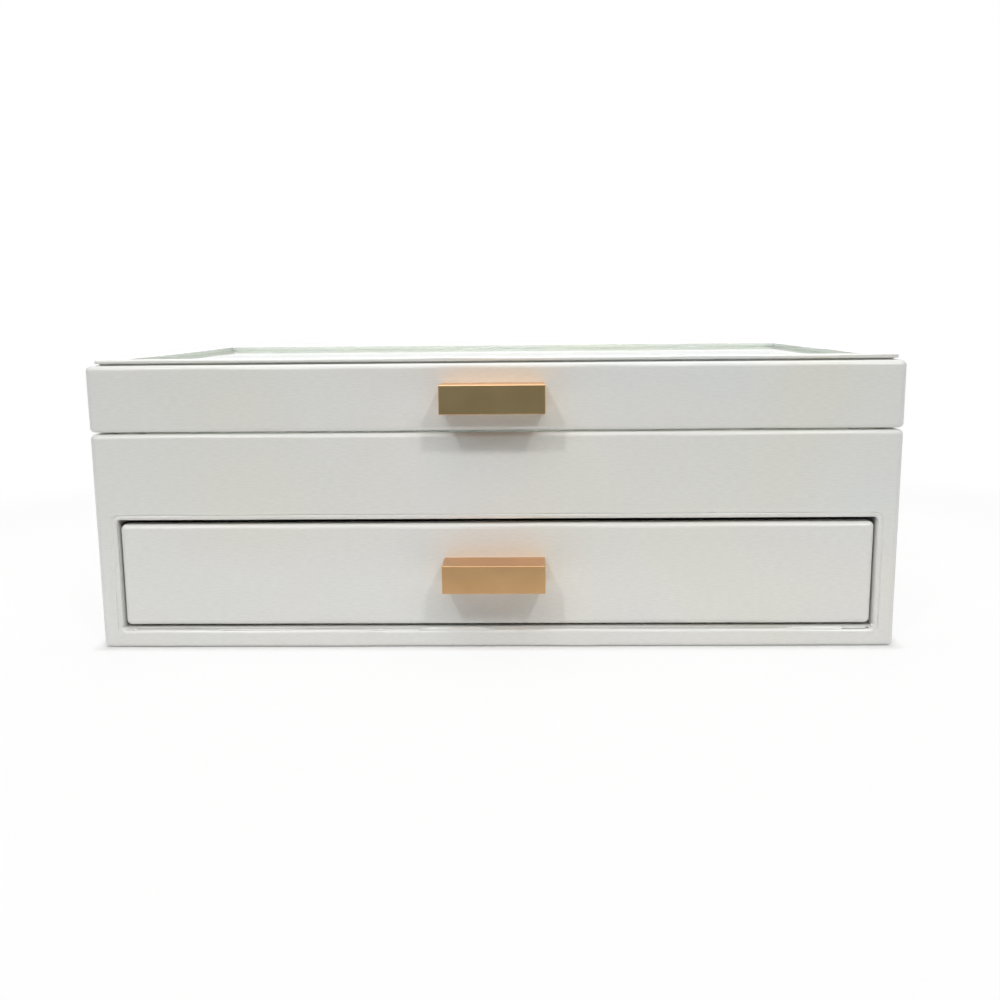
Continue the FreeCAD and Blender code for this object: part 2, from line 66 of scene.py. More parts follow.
# Lowest and highest corner of a node, in millimetres
def boxMm(node):
    low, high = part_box(node)
    return np.array(low) / mm, np.array(high) / mm


# Colour of an sRGB hex value, as the shaders need it
def linear(hexValue, alpha=1.0):
    channels = [int(hexValue[i:i + 2], 16) / 255 for i in (1, 3, 5)]
    curved = [c / 12.92 if c <= 0.04045 else ((c + 0.055) / 1.055) ** 2.4 for c in channels]
    return (*curved, alpha)


# Adds a node. inputs holds a value or the socket to link for each input, by name or number.
def addNode(tree, kind, inputs=None, **settings):
    node = tree.nodes.new(kind)
    for name, value in settings.items():
        setattr(node, name, value)
    for name, value in (inputs or {}).items():
        if isinstance(value, bpy.types.NodeSocket):
            tree.links.new(value, node.inputs[name])
        else:
            node.inputs[name].default_value = value
    return node


# A new material with its tree emptied down to one Principled shader
def newMaterial(name):
    material = bpy.data.materials.new(name)
    material.use_nodes = True
    tree = material.node_tree
    tree.nodes.clear()
    shader = addNode(tree, "ShaderNodeBsdfPrincipled")
    addNode(tree, "ShaderNodeOutputMaterial", {"Surface": shader.outputs["BSDF"]})
    return material, tree, shader


# Sets shader inputs by their names in camel case, such as coatWeight for Coat Weight
def setShader(shader, **values):
    for name, value in values.items():
        label = "".join(" " + c if c.isupper() else c for c in name).strip().title().replace("Ior", "IOR")
        shader.inputs[label].default_value = value


# Most values of the noise texture lie between these two
noiseLow = 0.3
noiseHigh = 0.7


# Coated fabric with a linen emboss: low satin shine, broken fine lines that run along each wall, and a
# painted highlight over the rounded edges
leatheretteLook = {
    "colour": "#E9E8E4",
    "coolPatch": "#E7E9E6",
    "warmPatch": "#E9E8E0",
    "coolStop": 0.33,
    "warmStop": 0.67,
    "patchSize": 70.0,
    "paintedEdgeHighlight": "#F0F0ED",  # painted highlight: paler colour over the rounded edges, where light from above falls
    "highlightStart": 0.05,  # where the painted highlight starts, by how far the normal is from straight along an axis
    "highlightFull": 0.29,
    "threadSpacing": 0.87,  # one emboss line
    "weftWidth": 0.55,
    "warpWidth": 0.6,
    "dashLength": 3.0,
    "warpLength": 0.8,
    "warpHeight": 0.45,
    "grainSize": 0.35,
    "grainHeight": 0.25,
    "embossDepth": 0.035,
    "hollowShade": 0.965,
    "ridgeShade": 1.015,
    "roughness": 0.46,
    "hollowDuller": 0.05,
    "ridgeShinier": 0.04,
    "topCoat": 0.6,
    "topCoatRoughness": 0.24,
    "wallFacing": 0.7,  # least part of a normal along an axis for the face to count as facing it
}


def makeLeatherette():
    look = leatheretteLook
    material, tree, shader = newMaterial("embossedLeatherette")
    place = addNode(tree, "ShaderNodeTexCoord")
    spot = addNode(tree, "ShaderNodeSeparateXYZ", {"Vector": place.outputs["Object"]})
    facing = addNode(tree, "ShaderNodeSeparateXYZ", {"Vector": place.outputs["Normal"]})

    def maths(operation, first, second=0.0, third=0.0):
        inputs = {0: first, 1: second, 2: third}
        return addNode(tree, "ShaderNodeMath", inputs, operation=operation).outputs[0]

    def either(switch, whenOff, whenOn):  # whenOff + switch * (whenOn - whenOff)
        return maths("MULTIPLY_ADD", switch, maths("SUBTRACT", whenOn, whenOff), whenOff)

    onSide = maths("GREATER_THAN", maths("ABSOLUTE", facing.outputs["X"]), look["wallFacing"])
    onTop = maths("GREATER_THAN", maths("ABSOLUTE", facing.outputs["Z"]), look["wallFacing"])
    along = either(onSide, spot.outputs["X"], spot.outputs["Y"])
    across = either(onTop, spot.outputs["Z"], spot.outputs["Y"])

    def dashes(longWay, crossWay, spacing, length, seed):
        cell = addNode(tree, "ShaderNodeCombineXYZ", {
            "X": maths("MULTIPLY", longWay, 1 / (length * mm)),
            "Y": maths("MULTIPLY", crossWay, 1 / (spacing * mm)),
            "Z": seed})
        return addNode(tree, "ShaderNodeTexNoise", {
            "Vector": cell.outputs[0], "Scale": 1.0, "Detail": 1.0, "Roughness": 0.4}).outputs["Fac"]

    spacing, length = look["threadSpacing"], look["dashLength"]
    weft = dashes(along, across, spacing * look["weftWidth"], length, 2.0)
    warp = dashes(across, along, spacing * look["warpWidth"], length * look["warpLength"], 9.0)
    grain = addNode(tree, "ShaderNodeTexNoise", {
        "Vector": place.outputs["Object"], "Scale": 1 / (look["grainSize"] * mm), "Detail": 2.0})
    height = maths("MULTIPLY", grain.outputs["Fac"], look["grainHeight"])
    height = maths("MULTIPLY_ADD", warp, look["warpHeight"], height)
    height = maths("MULTIPLY_ADD", weft, 1.0, height)
    bump = addNode(tree, "ShaderNodeBump", {
        "Height": height, "Strength": 1.0, "Distance": look["embossDepth"] * mm})

    patches = addNode(tree, "ShaderNodeTexNoise", {
        "Vector": place.outputs["Object"], "Scale": 1 / (look["patchSize"] * mm), "Detail": 1.5})
    ramp = addNode(tree, "ShaderNodeValToRGB", {"Fac": patches.outputs["Fac"]})
    stops = ramp.color_ramp.elements
    stops[0].position, stops[0].color = look["coolStop"], linear(look["coolPatch"])
    stops[1].position, stops[1].color = look["warmStop"], linear(look["warmPatch"])
    middle = stops.new(0.5)
    middle.color = linear(look["colour"])
    shade = addNode(tree, "ShaderNodeMapRange", {
        "Value": weft, "From Min": noiseLow, "From Max": noiseHigh,
        "To Min": look["hollowShade"], "To Max": look["ridgeShade"]})
    tinted = addNode(tree, "ShaderNodeVectorMath", {
        0: ramp.outputs["Color"], "Scale": shade.outputs["Result"]}, operation="SCALE")
    # Painted highlight: the colour is mixed towards a paler one over the rounded edges, where the light
    # from above catches them
    facingX, facingY, facingZ = (maths("ABSOLUTE", facing.outputs[axis]) for axis in "XYZ")
    bent = maths("SUBTRACT", 1.0, maths("MAXIMUM", facingX, maths("MAXIMUM", facingY, facingZ)))
    paintedEdgeHighlight = addNode(tree, "ShaderNodeMapRange", {
        "Value": bent, "From Min": look["highlightStart"], "From Max": look["highlightFull"]})
    tinted = addNode(tree, "ShaderNodeMix", {
        0: paintedEdgeHighlight.outputs["Result"],
        6: tinted.outputs[0],
        7: linear(look["paintedEdgeHighlight"])}, data_type="RGBA")
    worn = addNode(tree, "ShaderNodeMapRange", {
        "Value": weft, "From Min": noiseLow, "From Max": noiseHigh,
        "To Min": look["roughness"] + look["hollowDuller"],
        "To Max": look["roughness"] - look["ridgeShinier"]})
    tree.links.new(tinted.outputs[2], shader.inputs["Base Color"])
    tree.links.new(worn.outputs["Result"], shader.inputs["Roughness"])
    tree.links.new(bump.outputs["Normal"], shader.inputs["Normal"])
    setShader(shader, ior=1.5, coatWeight=look["topCoat"], coatRoughness=look["topCoatRoughness"])
    return material


# Short-pile velvet: matt, light at grazing angles, brushed one way and the other in patches
velvetLook = {
    "colour": "#EBEAE4",
    "brushed": "#DFDDD5",
    "patchSize": 9.0,
    "pileSize": 0.5,  # real pile is about 0.15 mm; drawn coarser so that it shows
    "pileDepth": 0.06,
    "roughness": 0.92,
    "sheen": 0.55,
    "sheenRoughness": 0.4,
    "sheenTint": "#F2EAE0",
}


def makeVelvet():
    look = velvetLook
    material, tree, shader = newMaterial("shortPileVelvet")
    place = addNode(tree, "ShaderNodeTexCoord").outputs["Object"]
    patches = addNode(tree, "ShaderNodeTexNoise", {
        "Vector": place, "Scale": 1 / (look["patchSize"] * mm), "Detail": 3.0, "Distortion": 0.6})
    ramp = addNode(tree, "ShaderNodeValToRGB", {"Fac": patches.outputs["Fac"]})
    stops = ramp.color_ramp.elements
    stops[0].position, stops[0].color = 0.38, linear(look["brushed"])
    stops[1].position, stops[1].color = 0.62, linear(look["colour"])
    pile = addNode(tree, "ShaderNodeTexNoise", {
        "Vector": place, "Scale": 1 / (look["pileSize"] * mm), "Detail": 2.0})
    bump = addNode(tree, "ShaderNodeBump", {
        "Height": pile.outputs["Fac"], "Strength": 1.0, "Distance": look["pileDepth"] * mm})
    tree.links.new(ramp.outputs["Color"], shader.inputs["Base Color"])
    tree.links.new(bump.outputs["Normal"], shader.inputs["Normal"])
    setShader(shader, roughness=look["roughness"], ior=1.45)
    setShader(shader, sheenWeight=look["sheen"], sheenRoughness=look["sheenRoughness"])
    setShader(shader, sheenTint=linear(look["sheenTint"]))
    return material


# Pressed wool felt: dark, matt, with matted fibres
feltLook = {
    "colour": "#4B4845",
    "fibre": "#5E5A56",
    "fibreSize": 0.6,
    "fibreDepth": 0.08,
    "roughness": 0.95,
    "sheen": 0.25,
    "sheenRoughness": 0.5,
}


def makeFelt():
    look = feltLook
    material, tree, shader = newMaterial("pressedWoolFelt")
    place = addNode(tree, "ShaderNodeTexCoord").outputs["Object"]
    fibres = addNode(tree, "ShaderNodeTexNoise", {
        "Vector": place, "Scale": 1 / (look["fibreSize"] * mm), "Detail": 3.0, "Distortion": 1.5})
    ramp = addNode(tree, "ShaderNodeValToRGB", {"Fac": fibres.outputs["Fac"]})
    ramp.color_ramp.elements[0].color = linear(look["colour"])
    ramp.color_ramp.elements[1].color = linear(look["fibre"])
    bump = addNode(tree, "ShaderNodeBump", {
        "Height": fibres.outputs["Fac"], "Strength": 1.0, "Distance": look["fibreDepth"] * mm})
    tree.links.new(ramp.outputs["Color"], shader.inputs["Base Color"])
    tree.links.new(bump.outputs["Normal"], shader.inputs["Normal"])
    setShader(shader, roughness=look["roughness"], ior=1.45)
    setShader(shader, sheenWeight=look["sheen"], sheenRoughness=look["sheenRoughness"])
    return material


# Medium-density fibreboard, sawn and unpainted: matt tan with fine darker fibres
fibreboardLook = {
    "colour": "#A98963",
    "fibre": "#8E7050",
    "fibreSize": 0.9,
    "fibreDepth": 0.04,
    "roughness": 0.85,
}


def makeFibreboard():
    look = fibreboardLook
    material, tree, shader = newMaterial("sawnFibreboard")
    place = addNode(tree, "ShaderNodeTexCoord").outputs["Object"]
    fibres = addNode(tree, "ShaderNodeTexNoise", {
        "Vector": place, "Scale": 1 / (look["fibreSize"] * mm), "Detail": 4.0})
    ramp = addNode(tree, "ShaderNodeValToRGB", {"Fac": fibres.outputs["Fac"]})
    ramp.color_ramp.elements[0].position = 0.35
    ramp.color_ramp.elements[0].color = linear(look["fibre"])
    ramp.color_ramp.elements[1].position = 0.6
    ramp.color_ramp.elements[1].color = linear(look["colour"])
    bump = addNode(tree, "ShaderNodeBump", {
        "Height": fibres.outputs["Fac"], "Strength": 1.0, "Distance": look["fibreDepth"] * mm})
    tree.links.new(ramp.outputs["Color"], shader.inputs["Base Color"])
    tree.links.new(bump.outputs["Normal"], shader.inputs["Normal"])
    setShader(shader, roughness=look["roughness"], ior=1.5)
    return material


# Clear float glass with polished faces and the faint green of its iron. Rays to the lamps pass
# straight through it, so that the tray under it is lit.
floatGlassLook = {"colour": "#F1F8F4", "shadowColour": "#EEF6F1", "ior": 1.52}


def makeFloatGlass():
    look = floatGlassLook
    material, tree, shader = newMaterial("floatGlass")
    setShader(shader, baseColor=linear(look["colour"]), ior=look["ior"])
    setShader(shader, roughness=0.0, transmissionWeight=1.0)
    clear = addNode(tree, "ShaderNodeBsdfTransparent", {"Color": linear(look["shadowColour"])})
    path = addNode(tree, "ShaderNodeLightPath")
    mixed = addNode(tree, "ShaderNodeMixShader", {
        0: path.outputs["Is Shadow Ray"], 1: shader.outputs["BSDF"], 2: clear.outputs["BSDF"]})
    output = next(node for node in tree.nodes if node.type == "OUTPUT_MATERIAL")
    tree.links.new(mixed.outputs[0], output.inputs["Surface"])
    return material


# Plated metal with a bead-blasted satin face: soft wide highlights, a very fine even grain
satinMetalLook = {"cloudSize": 14, "roughnessSpread": 0.03, "grainDepth": 0.004}


def makeSatinMetal(name, colour, shadeColour, roughness, grainSize):
    look = satinMetalLook
    material, tree, shader = newMaterial(name)
    place = addNode(tree, "ShaderNodeTexCoord").outputs["Object"]
    clouds = addNode(tree, "ShaderNodeTexNoise", {
        "Vector": place, "Scale": 1 / (look["cloudSize"] * mm), "Detail": 2.0})
    ramp = addNode(tree, "ShaderNodeValToRGB", {"Fac": clouds.outputs["Fac"]})
    ramp.color_ramp.elements[0].position = 0.35
    ramp.color_ramp.elements[0].color = linear(shadeColour)
    ramp.color_ramp.elements[1].position = 0.65
    ramp.color_ramp.elements[1].color = linear(colour)
    grain = addNode(tree, "ShaderNodeTexNoise", {
        "Vector": place, "Scale": 1 / (grainSize * mm), "Detail": 2.0})
    spread = addNode(tree, "ShaderNodeMapRange", {
        "Value": grain.outputs["Fac"], "From Min": noiseLow, "From Max": noiseHigh,
        "To Min": roughness - look["roughnessSpread"], "To Max": roughness + look["roughnessSpread"]})
    bump = addNode(tree, "ShaderNodeBump", {
        "Height": grain.outputs["Fac"], "Strength": 1.0, "Distance": look["grainDepth"] * mm})
    tree.links.new(ramp.outputs["Color"], shader.inputs["Base Color"])
    tree.links.new(spread.outputs["Result"], shader.inputs["Roughness"])
    tree.links.new(bump.outputs["Normal"], shader.inputs["Normal"])
    setShader(shader, metallic=1.0)
    return material


# Soft clear elastomer dots
def makeElastomer():
    material, _, shader = newMaterial("clearElastomer")
    setShader(shader, baseColor=linear("#E4E4DF"), roughness=0.35, transmissionWeight=0.5, ior=1.41)
    return material


materials = {
    "leatherette": makeLeatherette(),
    "velvet": makeVelvet(),
    "felt": makeFelt(),
    "board": makeFibreboard(),
    "glass": makeFloatGlass(),
    "rose_gold": makeSatinMetal("satinRoseGoldPlate", "#D7AA7A", "#D0A374", 0.36, 0.25),
    "brass": makeSatinMetal("satinBrassPlate", "#D9BC7C", "#CFB070", 0.3, 0.25),
    "steel": makeSatinMetal("zincPlatedSteel", "#C2C4C6", "#B2B4B6", 0.34, 0.2),
    "bumper": makeElastomer(),
}
print("materials made:", len(materials))


# Every carried-over node gets the material of its slot, and what is made of board or card gets
# slightly broken edges
easedEdges = {"leatherette": 0.35, "velvet": 0.3, "board": 0.25, "felt": 0.2}


def dressNodes():
    for part in frame["record"]["subparts"]:
        piece = nodes[part["node"]]
        slot = part["material_slot"]
        piece.data.materials.clear()
        piece.data.materials.append(materials[slot])
        if slot in easedEdges:
            bevel = piece.modifiers.new("easedEdges", "BEVEL")
            bevel.width = easedEdges[slot] * mm
            bevel.segments = 3
            bevel.limit_method = "ANGLE"
            bevel.angle_limit = math.radians(40)


dressNodes()


# Positions from low to high through the marks, fine near each mark and coarse between them
def gridLines(marks, fineStep, fineReach, coarseStep):
    lines = [marks[0]]
    for start, end in zip(marks[:-1], marks[1:]):
        span = end - start
        if span <= 2 * fineReach:
            count = max(1, round(span / fineStep))
            lines += list(np.linspace(start, end, count + 1)[1:])
            continue
        fine = max(1, round(fineReach / fineStep))
        coarse = max(1, round((span - 2 * fineReach) / coarseStep))
        lines += list(np.linspace(start, start + fineReach, fine + 1)[1:])
        lines += list(np.linspace(start + fineReach, end - fineReach, coarse + 1)[1:])
        lines += list(np.linspace(end - fineReach, end, fine + 1)[1:])
    return np.array(lines)


# Where the grid lines of one side meet a side of a rounded rectangle. lines run from -baseHalf to
# baseHalf, and those within reach of a corner lie on half of its arc.
def onRoundedSide(lines, reach, half, otherHalf, radius):
    baseHalf = lines[-1]
    straight = lines / (baseHalf - reach) * (half - radius)
    inCorner = np.abs(lines) > baseHalf - reach
    turn = math.pi / 4 * (np.abs(lines) - (baseHalf - reach)) / reach
    along = np.where(inCorner, np.sign(lines) * (half - radius + radius * np.sin(turn)), straight)
    out = np.where(inCorner, otherHalf - radius + radius * np.cos(turn), otherHalf)
    return along, out


# A closed loop round a rounded rectangle, counter-clockwise from its lower left corner
def roundedLoop(linesX, linesY, reach, halfX, halfY, radius):
    alongX, outY = onRoundedSide(linesX, reach, halfX, halfY, radius)
    alongY, outX = onRoundedSide(linesY, reach, halfY, halfX, radius)
    low = np.stack([alongX, -outY], 1)[:-1]
    right = np.stack([outX, alongY], 1)[:-1]
    high = np.stack([alongX, outY], 1)[::-1][:-1]
    left = np.stack([-outX, alongY], 1)[::-1][:-1]
    return np.concatenate([low, right, high, left])


def newSkin():
    return {"points": [], "faces": []}


def addPoints(skin, points):
    start = len(skin["points"])
    skin["points"].extend([tuple(point) for point in points])
    return list(range(start, start + len(points)))


# Quads between two loops of the same length
def bridge(skin, first, second, leaveOut=()):
    count = len(first)
    for k in range(count):
        after = (k + 1) % count
        if k not in leaveOut:
            skin["faces"].append((first[k], second[k], second[after], first[after]))


# Points of a quarter turn of the given radius, as (sine part, one minus cosine part)
def quarterTurn(radius, steps):
    angles = np.linspace(0, math.pi / 2, steps + 1)
    return [(radius * math.sin(a), radius * (1 - math.cos(a))) for a in angles]


# A mesh object from points in millimetres, riding on a body. A covering is given its thickness
# inwards from the points.
def newPiece(name, skin, slot, body, thickness=0.0):
    mesh = bpy.data.meshes.new(name)
    mesh.from_pydata([tuple(c * mm for c in point) for point in skin["points"]], [], skin["faces"])
    mesh.validate()
    mesh.shade_smooth()
    mesh.set_sharp_from_angle(angle=math.radians(60))
    piece = bpy.data.objects.new(name, mesh)
    bpy.context.scene.collection.objects.link(piece)
    mesh.materials.append(materials[slot])
    if thickness:
        solid = piece.modifiers.new("thickness", "SOLIDIFY")
        solid.thickness = thickness * mm
        solid.offset = -1
    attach(piece, body)
    return piece


# Coated fabric never lies dead flat on its board: slow swells on the faces and slightly uneven
# rounding along the edges, where it was pulled over by hand
settling = {
    "faceSwell": 0.07,
    "faceLength": 55.0,
    "edgeSwell": 0.3,
    "edgeLength": 34.0,
    "fineSwell": 0.06,
    "fineLength": 11.0,
    "fullyCurved": 0.22,  # how far a normal is from straight along an axis where it counts as an edge
}
coveringThickness = 0.7


def settleCovering(piece, seed):
    mesh = piece.data
    shift = Vector((seed * 3.1, seed * 5.7, seed * 1.3))
    normals = [Vector(normal.vector) for normal in mesh.vertex_normals]
    for vertex, normal in zip(mesh.vertices, normals):
        spot = vertex.co / mm
        curved = min(1.0, (1 - max(abs(c) for c in normal)) / settling["fullyCurved"])
        face = noise.noise(spot / settling["faceLength"] + shift) * settling["faceSwell"]
        edge = noise.noise(spot / settling["edgeLength"] - shift) * settling["edgeSwell"] * curved
        fine = noise.noise(spot / settling["fineLength"] + shift) * settling["fineSwell"] * curved
        vertex.co += normal * (face + edge + fine) * mm
    mesh.update()


# Covering of the case
caseShape = {
    "cornerRadius": 2.6,
    "rimRadius": 2.0,
    "baseRadius": 1.5,
    "openingRadius": 1.2,
    "openingCornerRadius": 1.5,
    "creaseOut": 0.4,
    "creaseWidth": 0.6,
    "creaseDepth": 0.45,
    "sillFullness": 1.9,
    "sillDrop": 0.3,  # keeps the uneven covering under the glides of the drawer
    "sillLiftReach": 10.0,  # height over which the fuller turn of the sill fades out
    "sillDepthReach": 3.0,
    "covering": 0.8,
    "seamGap": 0.3,
    "turnUnder": 12.8,
    "turnIn": 1.2,
    "innerEdge": 0.4,
    "innerEdgeCut": 0.12,
    "leastCorner": 0.4,
    "leastOpeningCorner": 0.3,
    "backEdge": 0.2,
    "fineStep": 0.5,
    "fineReach": 9.0,
    "coarseStep": 4.0,
}
# Steps of the crease round the opening, as shares of its width and of its depth
creaseProfile = ((0.25, 0.3), (0.5, 1.0), (0.75, 0.3), (1.0, 0.0))
# Last steps of the covering at the seam: how much further in than the turn, and how far short of
# the seam's depth
seamEnd = ((0.04, 0.06), (-0.15, 0.0), (-0.6, 0.0))


def makeCaseCovering():
    shape = caseShape
    low, high = boxMm("case_wrap")
    halfX, halfY = high[0], high[1]
    wall = boxMm("tray_front_lining")[0][1] - low[1]
    seamDepth = boxMm("bay_left_lining")[0][1] - low[1] - shape["seamGap"]
    openingHalf = -boxMm("bay_left_lining")[0][0] - shape["covering"]
    openingTop = boxMm("bay_left_lining")[1][2]
    sill = boxMm("bay_floor_lining")[0][2] + shape["covering"] - shape["sillDrop"]
    rimR, baseR, lipR = shape["rimRadius"], shape["baseRadius"], shape["openingRadius"]
    corner = shape["cornerRadius"]

    flatX = halfX - corner
    band = shape["creaseOut"] + shape["creaseWidth"]
    holeX = openingHalf + lipR + band
    sillR = lipR * shape["sillFullness"]
    holeLow, holeHigh = sill - sillR - band, openingTop + lipR + band
    cornerLines = np.linspace(halfX, flatX, 5)[:-1]
    steps = (shape["fineStep"], shape["fineReach"], shape["coarseStep"])
    middleX = gridLines([-flatX, -holeX, holeX, flatX], *steps)
    linesX = np.concatenate([-cornerLines, middleX, cornerLines[::-1]])
    cornerLines = np.linspace(halfY, halfY - corner, 5)[:-1]
    middleY = gridLines([corner - halfY, halfY - corner], 1.5, 4.0, 5.0)
    linesY = np.concatenate([-cornerLines, middleY, cornerLines[::-1]])
    wallZ = gridLines([low[2] + baseR, holeLow, holeHigh, high[2] - rimR], *steps)[::-1]

    # Inset and height of each loop, from inside the rim over the wall to under the base
    innerEdge, cut = shape["innerEdge"], shape["innerEdgeCut"]
    profile = [(wall, high[2] - shape["turnIn"]), (wall, high[2] - innerEdge)]
    profile += [(wall - cut, high[2] - cut), (wall - innerEdge, high[2])]
    profile += [(inset, high[2]) for inset in np.linspace(wall - 1.0, rimR + 0.4, 4)]
    profile += [(rimR - out, high[2] - down) for out, down in quarterTurn(rimR, 8)]
    profile += [(0, z) for z in wallZ[1:]]
    profile += [(across, low[2] + baseR - drop) for drop, across in quarterTurn(baseR, 6)[1:]]
    profile += [(inset, low[2]) for inset in np.linspace(baseR, shape["turnUnder"], 6)[1:]]

    skin = newSkin()
    loops = []
    for inset, z in profile:
        radius = max(corner - inset, shape["leastCorner"])
        flat = roundedLoop(linesX, linesY, corner, halfX - inset, halfY - inset, radius)
        loops.append(addPoints(skin, [(x, y, z) for x, y in flat]))

    # The drawer opening is left out of the front
    columns = [k for k, x in enumerate(linesX) if abs(x) <= holeX + 0.001]
    rows = [r for r, (inset, z) in enumerate(profile)
            if inset == 0 and holeLow - 0.001 <= z <= holeHigh + 0.001]
    for r in range(len(loops) - 1):
        inHole = r in rows[:-1]
        bridge(skin, loops[r], loops[r + 1], columns[:-1] if inHole else ())

    # Its edge loop, counter-clockwise from the lower left corner, and the turn into it
    holeLinesX = linesX[columns]
    holeLinesZ = np.array([profile[r][1] for r in rows])[::-1] - (holeLow + holeHigh) / 2
    edge = [loops[rows[-1]][k] for k in columns[:-1]]
    edge += [loops[r][columns[-1]] for r in rows[:0:-1]]
    edge += [loops[rows[0]][k] for k in columns[:0:-1]]
    edge += [loops[r][columns[0]] for r in rows[:-1]]
    reach = lipR + band + shape["openingCornerRadius"]
    middleZ = (holeLow + holeHigh) / 2

    # The turn over the sill is rounder than the one at the sides and ends at the same seam
    halfZ = (holeHigh - holeLow) / 2
    sillEnd = sillR * math.sqrt(1 - (1 - seamDepth / sillR) ** 2)

    def openingLoop(inset, depth):
        radius = max(reach - inset, shape["leastOpeningCorner"])
        flat = roundedLoop(holeLinesX, holeLinesZ, reach, holeX - inset, halfZ - inset, radius)
        turned = max(inset - band, 0)
        lift = min(turned * shape["sillFullness"], sillEnd) - turned
        deeper = max(depth, min(depth * shape["sillFullness"], seamDepth)) - depth
        if inset < band:
            deeper = -depth  # no crease under the drawer
        points = []
        for x, z in flat:
            above = z + halfZ - inset  # height over the lower side of this loop
            raised = z + middleZ + lift * max(0.0, 1 - above / shape["sillLiftReach"])
            back = low[1] + depth + deeper * max(0.0, 1 - above / shape["sillDepthReach"])
            points.append((x, back, raised))
        return points

    for index, point in zip(edge, openingLoop(0, 0)):
        skin["points"][index] = point
    crease, creaseDepth = shape["creaseWidth"], shape["creaseDepth"]
    creaseSteps = [(crease * over, creaseDepth * down) for over, down in creaseProfile] + [(band, 0)]
    turn = [(band + inset, depth) for inset, depth in quarterTurn(lipR, 12)[1:]]
    shown = [step for step in turn if step[1] < seamDepth - 0.15]
    last = edge
    for inset, depth in creaseSteps + shown:
        following = addPoints(skin, openingLoop(inset, depth))
        bridge(skin, following, last)
        last = following

    # Beside and below the drawer it ends at a seam, and above the drawer it covers the whole lip
    countX, countZ = len(holeLinesX) - 1, len(holeLinesZ) - 1
    topSide = range(countX + countZ, 2 * countX + countZ + 1)
    lip = last
    turnEnd = shown[-1][0]
    for further, short in seamEnd:
        following = addPoints(skin, openingLoop(turnEnd + further, seamDepth - short))
        bridge(skin, following, last, topSide[:-1])
        last = following
    backEdge = shape["backEdge"]
    lipEnd = [(band + lipR, wall - backEdge), (band + lipR - backEdge, wall)]
    for inset, depth in turn[len(shown):] + lipEnd:
        around = openingLoop(inset, depth)
        following = dict(zip(topSide, addPoints(skin, [around[k] for k in topSide])))
        for k in topSide[:-1]:
            skin["faces"].append((following[k], lip[k], lip[k + 1], following[k + 1]))
        lip = following

    piece = newPiece("caseCovering", skin, "leatherette", "case", coveringThickness)
    settleCovering(piece, 1)
    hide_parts("case_wrap")


# Covering of the lid
lidShape = {
    "cornerRadius": 2.6,
    "topRadius": 2.2,
    "bottomRadius": 1.8,
    "turnIn": 1.2,
    "leastCorner": 0.4,
    "stepsX": (0.65, 2.6, 3.0),  # fine step, its reach from each mark, and coarse step
    "stepsY": (0.65, 2.6, 4.0),
    "stepsZ": (1.2, 3.0, 3.0),
}


def makeLidCovering():
    shape = lidShape
    low, high = boxMm("lid_wrap")
    halfX, halfY = high[0], high[1]
    wall = boxMm("lid_front_lining")[0][1] - low[1]
    topR, bottomR, corner = shape["topRadius"], shape["bottomRadius"], shape["cornerRadius"]
    linesX = gridLines([-halfX, corner - halfX, halfX - corner, halfX], *shape["stepsX"])
    linesY = gridLines([-halfY, corner - halfY, halfY - corner, halfY], *shape["stepsY"])
    wallZ = gridLines([low[2] + bottomR, high[2] - topR], *shape["stepsZ"])[::-1]
    profile = [(wall, high[2] - shape["turnIn"]), (wall, high[2] - 0.1), (wall - 0.1, high[2])]
    profile += [(inset, high[2]) for inset in np.linspace(wall - 0.6, topR + 0.4, 4)]
    profile += [(topR - out, high[2] - down) for out, down in quarterTurn(topR, 8)]
    profile += [(0, z) for z in wallZ[1:]]
    profile += [(across, low[2] + bottomR - drop) for drop, across in quarterTurn(bottomR, 8)[1:]]
    profile += [(inset, low[2]) for inset in np.linspace(bottomR + 0.5, wall - 0.4, 4)]
    profile += [(wall - 0.12, low[2] + 0.12), (wall, low[2] + 0.4), (wall, low[2] + shape["turnIn"])]
    skin = newSkin()
    loops = []
    for inset, z in profile:
        radius = max(corner - inset, shape["leastCorner"])
        flat = roundedLoop(linesX, linesY, corner, halfX - inset, halfY - inset, radius)
        loops.append(addPoints(skin, [(x, y, z) for x, y in flat]))
    for first, second in zip(loops[:-1], loops[1:]):
        bridge(skin, first, second)
    piece = newPiece("lidCovering", skin, "leatherette", "lid", coveringThickness)
    settleCovering(piece, 2)
    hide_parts("lid_wrap")


# Covered frame round the glass: a thin board, padded and wrapped, that sits on the lid
topFrameShape = {
    "window": 8.4,  # width of the frame round it
    "cornerRadius": 2.0,
    "topRadius": 0.6,
    "bottomRadius": 0.3,
    "crown": 0.15,
    "grooveHeight": 0.75,
    "grooveDepth": 1.8,
    "leastCorner": 0.35,
    "stepsX": (0.5, 2.0, 3.0),
    "stepsY": (0.5, 2.0, 4.0),
}


